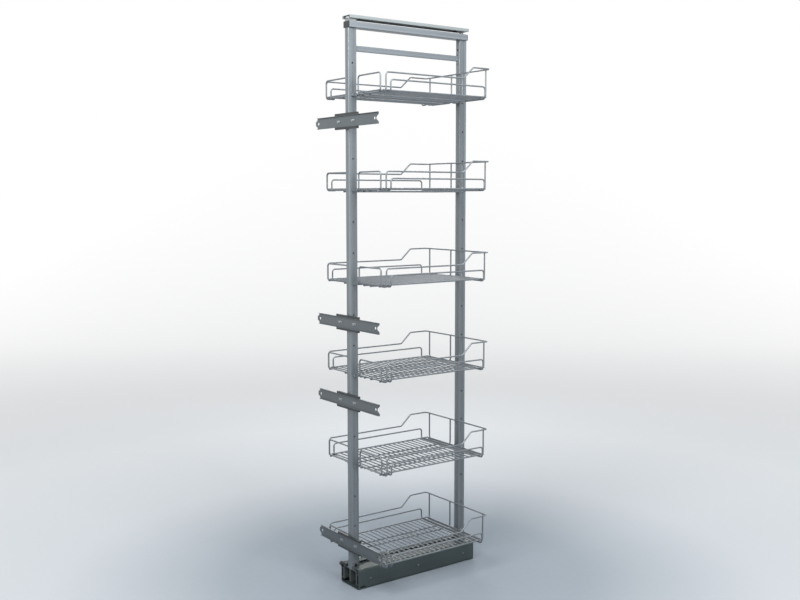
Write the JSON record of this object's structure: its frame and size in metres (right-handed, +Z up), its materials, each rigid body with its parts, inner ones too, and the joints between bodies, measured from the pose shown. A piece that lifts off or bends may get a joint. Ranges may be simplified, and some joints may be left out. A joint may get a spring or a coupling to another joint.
{
  "type": "pull-out larder unit",
  "caption": "Tall pull-out larder frame on a telescopic floor runner, with lift-out wire baskets between two posts and front brackets for a door.",
  "frame": {"origin": "centre of the underside of the floor runner", "axes": "+Z up along the posts, -Y the way the unit pulls out of the cabinet, +X to the right seen from the front"},
  "size_m": [0.361, 0.4985, 1.85],
  "materials": {
    "post_steel": "silver-grey powder coat, satin",
    "runner_paint": "dark grey powder coat, satin",
    "bracket_paint": "grey powder coat, satin",
    "guide_steel": "galvanised, satin",
    "zinc": "bright zinc plate",
    "basket_wire": "satin chrome",
    "black_plastic": "fine grain, matt",
    "roller_nylon": "smooth grey nylon"
  },
  "bodies": {
    "runner": {"runner_housing": "runner_paint", "left_outer_slide": "zinc", "right_outer_slide": "zinc", "housing_screws": "zinc", "rear_stop_plate": "runner_paint", "rear_buffer": "black_plastic", "side_stop": "black_plastic", "guide_plate": "guide_steel", "left_guide_channel": "guide_steel", "right_guide_channel": "guide_steel"},
    "middle_slides": {"left_middle_slide": "zinc", "right_middle_slide": "zinc"},
    "larder_frame": {"left_inner_slide": "zinc", "right_inner_slide": "zinc", "carriage_beam": "runner_paint", "carriage_screws": "zinc", "post_shoes": "post_steel", "foot_bolts": "black_plastic", "front_post": "post_steel", "rear_post": "post_steel", "head_rail": "post_steel", "head_end_caps": "black_plastic", "cross_rail": "post_steel", "cross_rail_screws": "runner_paint", "roller_pins": "zinc", "front_basket_clips": "post_steel", "rear_basket_clips": "post_steel", "clip_pins": "post_steel", "bracket_plate_1": "bracket_paint", "bracket_plate_2": "bracket_paint", "bracket_plate_3": "bracket_paint", "bracket_plate_4": "bracket_paint", "bracket_clamp_1": "black_plastic", "bracket_clamp_2": "black_plastic", "bracket_clamp_3": "black_plastic", "bracket_clamp_4": "black_plastic", "bracket_screws": "zinc", "clamp_screws": "zinc"},
    "front_roller": {"front_guide_roller": "roller_nylon"},
    "rear_roller": {"rear_guide_roller": "roller_nylon"},
    "basket_1": {"basket_1_floor": "basket_wire", "basket_1_rails": "basket_wire", "basket_1_guards": "basket_wire"},
    "basket_2": {"basket_2_floor": "basket_wire", "basket_2_rails": "basket_wire", "basket_2_guards": "basket_wire"},
    "basket_3": {"basket_3_floor": "basket_wire", "basket_3_rails": "basket_wire", "basket_3_guards": "basket_wire"},
    "basket_4": {"basket_4_floor": "basket_wire", "basket_4_rails": "basket_wire", "basket_4_guards": "basket_wire"},
    "basket_5": {"basket_5_floor": "basket_wire", "basket_5_rails": "basket_wire", "basket_5_guards": "basket_wire"},
    "basket_6": {"basket_6_floor": "basket_wire", "basket_6_rails": "basket_wire", "basket_6_guards": "basket_wire"}
  },
  "joints": [
    {"name": "frame_pull", "type": "slide", "parent": "runner", "child": "larder_frame", "axis": [0, -1, 0], "range_m": [0, 0.44]},
    {"name": "middle_slide_travel", "type": "slide", "parent": "runner", "child": "middle_slides", "axis": [0, -1, 0], "range_m": [0, 0.22]},
    {"name": "front_roller_spin", "type": "hinge", "parent": "larder_frame", "child": "front_roller", "pos_m": [0, -0.2295, 1.843], "axis": [0, 0, 1], "continuous": true},
    {"name": "rear_roller_spin", "type": "hinge", "parent": "larder_frame", "child": "rear_roller", "pos_m": [0, 0.222, 1.843], "axis": [0, 0, 1], "continuous": true},
    {"name": "basket_1_lift", "type": "slide", "parent": "larder_frame", "child": "basket_1", "axis": [0, 0, 1], "range_m": [0, 0.012]},
    {"name": "basket_2_lift", "type": "slide", "parent": "larder_frame", "child": "basket_2", "axis": [0, 0, 1], "range_m": [0, 0.012]},
    {"name": "basket_3_lift", "type": "slide", "parent": "larder_frame", "child": "basket_3", "axis": [0, 0, 1], "range_m": [0, 0.012]},
    {"name": "basket_4_lift", "type": "slide", "parent": "larder_frame", "child": "basket_4", "axis": [0, 0, 1], "range_m": [0, 0.012]},
    {"name": "basket_5_lift", "type": "slide", "parent": "larder_frame", "child": "basket_5", "axis": [0, 0, 1], "range_m": [0, 0.012]},
    {"name": "basket_6_lift", "type": "slide", "parent": "larder_frame", "child": "basket_6", "axis": [0, 0, 1], "range_m": [0, 0.012]}
  ],
  "couplings": [
    {"joint": "middle_slide_travel", "follows": "frame_pull", "ratio": 0.5}
  ]
}
